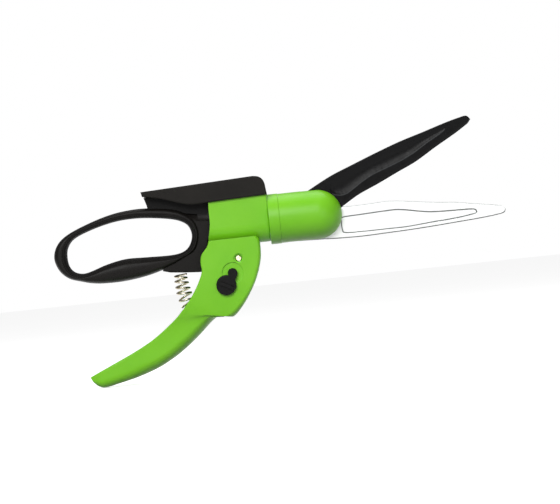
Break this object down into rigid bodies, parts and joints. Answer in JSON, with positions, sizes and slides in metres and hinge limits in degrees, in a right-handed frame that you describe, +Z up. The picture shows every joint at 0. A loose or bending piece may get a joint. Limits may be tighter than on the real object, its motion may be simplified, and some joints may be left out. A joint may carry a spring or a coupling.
{
  "type": "grass shears",
  "caption": "One-handed grass shears with a loop grip, a sprung squeeze lever, a locking catch and a swivelling head whose upper blade closes over the fixed lower blade.",
  "frame": {"origin": "centre of the bounding box in X, and its lowest level in Z, on the plane between the two blades in Y", "axes": "+X along the barrel from the grip to the blade tips, +Z up through the release hood, +Y away from the lock knob"},
  "size_m": [0.354, 0.0417, 0.1813],
  "materials": {
    "green_plastic": "satin bright green moulding",
    "black_plastic": "satin black moulding",
    "soft_lining": "soft matte black",
    "hood_plastic": "fine-grained black moulding",
    "coated_steel": "black non-stick coating on steel",
    "bright_steel": "bright plated steel",
    "plated_steel": "zinc plated",
    "spring_steel": "oiled spring wire",
    "pale_nylon": "natural nylon"
  },
  "bodies": {
    "handle": {"handle_frame": "black_plastic", "grip_liner": "soft_lining", "barrel_shell_near": "green_plastic", "barrel_shell_far": "green_plastic", "barrel_screw_top": "plated_steel", "barrel_screw_rear": "plated_steel", "barrel_screw_front": "plated_steel", "lever_pin": "plated_steel", "lever_pin_clip": "plated_steel", "release_pivot_pin": "plated_steel", "return_spring": "spring_steel", "release_spring": "spring_steel"},
    "lever": {"squeeze_lever": "green_plastic"},
    "lock": {"lock_knob": "black_plastic", "lock_shaft": "plated_steel"},
    "slider": {"drive_slider": "pale_nylon", "push_rod": "plated_steel"},
    "head": {"head_shell_near": "green_plastic", "head_shell_far": "green_plastic", "head_screw_top": "plated_steel", "head_screw_bottom": "plated_steel", "tang_screw_rear": "plated_steel", "tang_screw_front": "plated_steel", "swivel_collar": "green_plastic", "swivel_spigot": "pale_nylon", "retaining_ring": "plated_steel", "fixed_blade": "bright_steel", "blade_bolt": "plated_steel", "blade_spring_washer": "plated_steel", "blade_nut": "plated_steel"},
    "blade": {"moving_blade": "coated_steel", "crank_pin": "plated_steel"},
    "yoke": {"drive_yoke": "pale_nylon"},
    "release": {"release_lever": "hood_plastic"}
  },
  "joints": [
    {"name": "lever_squeeze", "type": "hinge", "parent": "handle", "child": "lever", "pos_m": [-0.0339, 0, 0.0894], "axis": [0, 1, 0], "range_deg": [0, 15], "stiffness_Nm_per_rad": 6, "springref_deg": -2.86, "deforming": ["return_spring"]},
    {"name": "slider_travel", "type": "slide", "parent": "handle", "child": "slider", "axis": [1, 0, 0], "range_m": [0, 0.0057]},
    {"name": "head_swivel", "type": "hinge", "parent": "handle", "child": "head", "pos_m": [-0.0076, 0, 0.1169], "axis": [1, 0, 0], "continuous": true},
    {"name": "yoke_travel", "type": "slide", "parent": "head", "child": "yoke", "axis": [1, 0, 0], "range_m": [0, 0.0057]},
    {"name": "blade_pivot", "type": "hinge", "parent": "head", "child": "blade", "pos_m": [0.0179, 0, 0.1169], "axis": [0, 1, 0], "range_deg": [0, 27.1]},
    {"name": "release_press", "type": "hinge", "parent": "handle", "child": "release", "pos_m": [-0.0406, 0, 0.1429], "axis": [0, -1, 0], "range_deg": [0, 2], "stiffness_Nm_per_rad": 1.5, "springref_deg": -1.15, "deforming": ["release_spring"]},
    {"name": "lock_turn", "type": "hinge", "parent": "lever", "child": "lock", "pos_m": [-0.0396, 0, 0.0785], "axis": [0, -1, 0], "range_deg": [0, 40]}
  ],
  "couplings": [
    {"joint": "slider_travel", "follows": "lever_squeeze", "m_per_rad": 0.021401},
    {"joint": "yoke_travel", "follows": "lever_squeeze", "m_per_rad": 0.021401},
    {"joint": "blade_pivot", "follows": "lever_squeeze", "ratio": 1.8}
  ]
}
